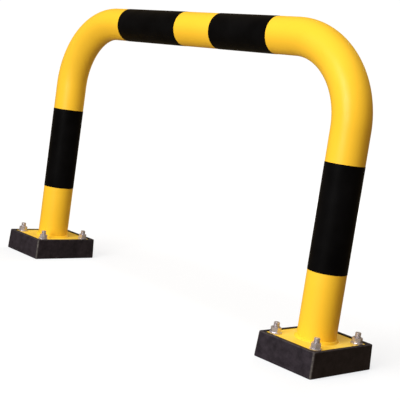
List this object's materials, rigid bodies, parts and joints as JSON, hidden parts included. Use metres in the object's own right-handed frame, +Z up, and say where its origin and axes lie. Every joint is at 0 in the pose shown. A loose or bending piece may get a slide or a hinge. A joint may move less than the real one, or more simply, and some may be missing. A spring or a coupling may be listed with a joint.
{
  "type": "hoop barrier",
  "caption": "Steel hoop barrier in yellow with black bands, on base plates let into elastic pads and bolted down, for guarding racks, machines and walls.",
  "frame": {"origin": "on the floor, midway between the two feet", "axes": "+X along the top bar from the left leg to the right leg, +Y across the hoop from front to back, +Z up"},
  "size_m": [1.067, 0.179, 0.6504],
  "materials": {
    "yellow_coat": "glossy powder coat",
    "black_film": "satin black film",
    "pad_rubber": "matte moulded rubber",
    "zinc_steel": "bright zinc plate"
  },
  "bodies": {
    "root": {"hoop_tube": "yellow_coat", "weld_left": "yellow_coat", "weld_right": "yellow_coat", "leg_band_left": "black_film", "leg_band_right": "black_film", "bar_band_left": "black_film", "bar_band_right": "black_film", "base_plate_left": "yellow_coat", "base_plate_right": "yellow_coat", "pad_left": "pad_rubber", "pad_right": "pad_rubber", "stud_left_front_left": "zinc_steel", "stud_left_front_right": "zinc_steel", "stud_left_back_right": "zinc_steel", "stud_left_back_left": "zinc_steel", "stud_right_front_left": "zinc_steel", "stud_right_front_right": "zinc_steel", "stud_right_back_right": "zinc_steel", "stud_right_back_left": "zinc_steel", "washer_left_front_left": "zinc_steel", "washer_left_front_right": "zinc_steel", "washer_left_back_right": "zinc_steel", "washer_left_back_left": "zinc_steel", "washer_right_front_left": "zinc_steel", "washer_right_front_right": "zinc_steel", "washer_right_back_right": "zinc_steel", "washer_right_back_left": "zinc_steel", "nut_left_front_left": "zinc_steel", "nut_left_front_right": "zinc_steel", "nut_left_back_right": "zinc_steel", "nut_left_back_left": "zinc_steel", "nut_right_front_left": "zinc_steel", "nut_right_front_right": "zinc_steel", "nut_right_back_right": "zinc_steel", "nut_right_back_left": "zinc_steel"}
  },
  "joints": []
}
